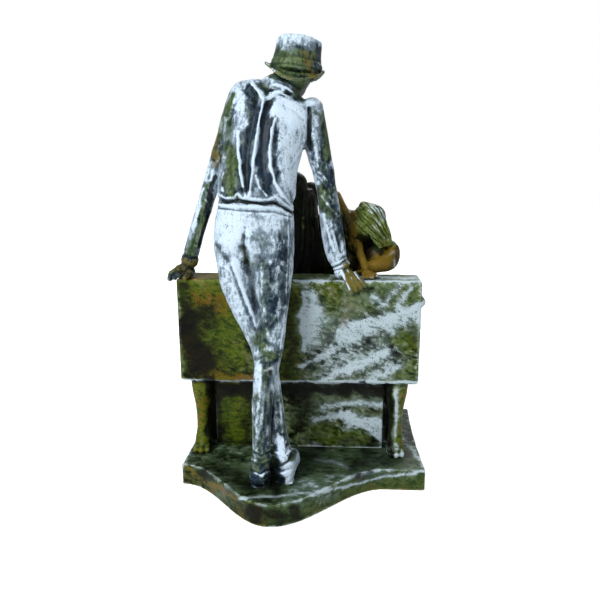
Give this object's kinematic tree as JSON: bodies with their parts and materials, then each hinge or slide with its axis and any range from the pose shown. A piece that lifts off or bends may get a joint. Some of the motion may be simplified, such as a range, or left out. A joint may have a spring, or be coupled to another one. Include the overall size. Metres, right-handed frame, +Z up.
{
  "type": "resin couple statue",
  "caption": "Cast resin ornament: a man in a hat leans on the back of a settee where a woman reclines, on a base with a curved front edge.",
  "frame": {"origin": "centre of the whole object's footprint, on the underside of the base", "axes": "+Z up, +Y away from the viewer who sees the man's back, +X to that viewer's right"},
  "size_m": [0.1856, 0.1634, 0.3102],
  "materials": {
    "base_resin": "painted resin, dark green and navy with pale worn edges",
    "settee_resin": "painted resin, moss green and gold with pale brushed strokes",
    "man_resin": "painted resin, pale blue-grey over navy, satin on the high spots",
    "woman_resin": "painted resin, golden brown and olive"
  },
  "bodies": {
    "root": {"base": "base_resin", "settee": "settee_resin", "man": "man_resin", "woman": "woman_resin"}
  },
  "joints": []
}
